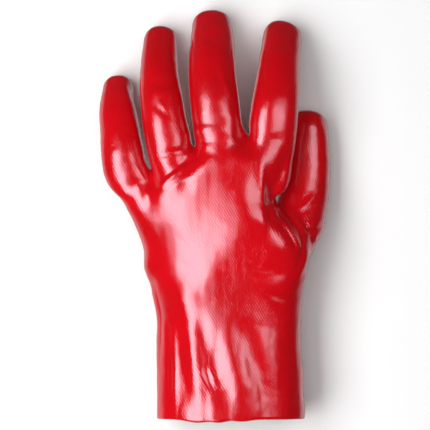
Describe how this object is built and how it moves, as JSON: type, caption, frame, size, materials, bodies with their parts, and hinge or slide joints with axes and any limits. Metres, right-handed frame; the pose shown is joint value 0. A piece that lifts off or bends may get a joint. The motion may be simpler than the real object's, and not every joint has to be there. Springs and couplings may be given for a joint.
{
  "type": "pvc coated work glove",
  "caption": "Left-hand work glove with a straight gauntlet cuff, one hollow wall of knitted cotton dipped in red PVC, lying on its palm with the fingers slightly bent.",
  "frame": {"origin": "under the middle of the glove, at the surface that it lies on", "axes": "+Y from the cuff towards the fingertips, +Z out of the back of the hand, +X towards the thumb"},
  "size_m": [0.1512, 0.2704, 0.0611],
  "materials": {
    "pvc_coat": "wet-look gloss over a fine knitted base"
  },
  "bodies": {
    "root": {"glove": "pvc_coat"}
  },
  "joints": []
}
